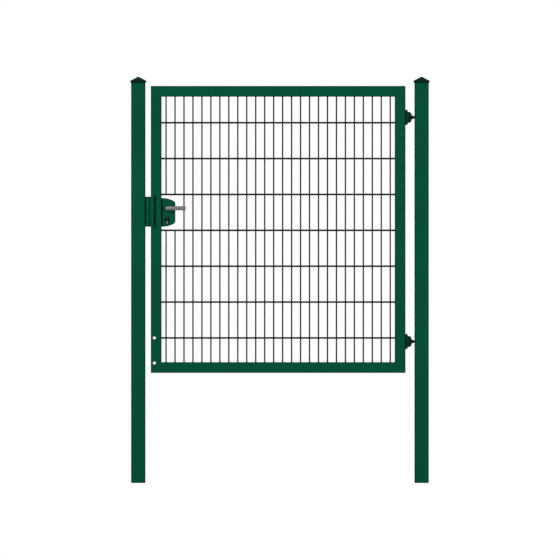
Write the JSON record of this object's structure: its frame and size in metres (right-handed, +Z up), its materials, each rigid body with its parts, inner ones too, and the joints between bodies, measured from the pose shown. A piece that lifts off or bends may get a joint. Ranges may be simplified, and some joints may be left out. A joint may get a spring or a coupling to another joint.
{
  "type": "tubular frame gate",
  "caption": "Single-leaf welded tube and wire mat garden gate hung between two square posts, with lever lock, stop keeper and screwed hinges.",
  "frame": {"origin": "centre of the hinge post's foot", "axes": "+X to the right, from the leaf to the hinge post; +Y to the back, the side that the leaf opens to; -Y is the front, the side with the stop plate; +Z up"},
  "size_m": [1.673, 0.128, 2.2665],
  "materials": {
    "coat": "satin moss-green powder coat, fine orange peel",
    "wire_coat": "very dark green powder coat over galvanised wire",
    "cap_plastic": "matt dark green moulded plastic",
    "bracket_coat": "satin dark green powder coat",
    "black_steel": "black coated steel",
    "stainless": "plain stainless steel",
    "black_plastic": "matt black plastic",
    "rubber": "matt dark green rubber",
    "anodised": "satin grey anodised aluminium",
    "nickel": "satin nickel-plated brass"
  },
  "bodies": {
    "posts": {"latch_post": "coat", "hinge_post": "coat", "latch_post_cap": "cap_plastic", "hinge_post_cap": "cap_plastic", "keeper": "coat", "keeper_buffer": "rubber", "upper_eye_bolt": "black_steel", "lower_eye_bolt": "black_steel", "upper_lock_nut": "black_steel", "lower_lock_nut": "black_steel"},
    "leaf": {"lock_stile": "coat", "hinge_stile": "coat", "top_rail": "coat", "bottom_rail": "coat", "wire_mat": "wire_coat", "upper_hinge_bracket": "bracket_coat", "lower_hinge_bracket": "bracket_coat", "upper_hinge_pin": "stainless", "lower_hinge_pin": "stainless", "upper_bracket_screws": "black_steel", "lower_bracket_screws": "black_steel", "lock_base": "black_plastic", "lock_case": "coat", "handle_bushes": "black_plastic", "cylinder_collars": "black_plastic", "lock_cylinder": "nickel"},
    "handle": {"front_handle": "anodised", "back_handle": "anodised", "spindle": "stainless"},
    "latch": {"latch_bolt": "stainless"},
    "bolt": {"deadbolt": "stainless"},
    "plug": {"key_plug": "nickel"}
  },
  "joints": [
    {"name": "leaf_swing", "type": "hinge", "parent": "posts", "child": "leaf", "pos_m": [-0.07, 0, 1.509], "axis": [0, 0, -1], "range_deg": [0, 90]},
    {"name": "handle_turn", "type": "hinge", "parent": "leaf", "child": "handle", "pos_m": [-1.42, 0, 1.532], "axis": [0, 1, 0], "range_deg": [0, 40], "stiffness_Nm_per_rad": 1, "springref_deg": -28.65},
    {"name": "latch_slide", "type": "slide", "parent": "leaf", "child": "latch", "axis": [1, 0, 0], "range_m": [0, 0.0166]},
    {"name": "key_turn", "type": "hinge", "parent": "leaf", "child": "plug", "pos_m": [-1.42, 0, 1.469], "axis": [0, -1, 0], "range_deg": [0, 360]},
    {"name": "deadbolt_throw", "type": "slide", "parent": "leaf", "child": "bolt", "axis": [-1, 0, 0], "range_m": [0, 0.02]}
  ],
  "couplings": [
    {"joint": "latch_slide", "follows": "handle_turn", "m_per_rad": 0.0236},
    {"joint": "key_turn", "follows": "deadbolt_throw", "rad_per_m": 314.15}
  ]
}
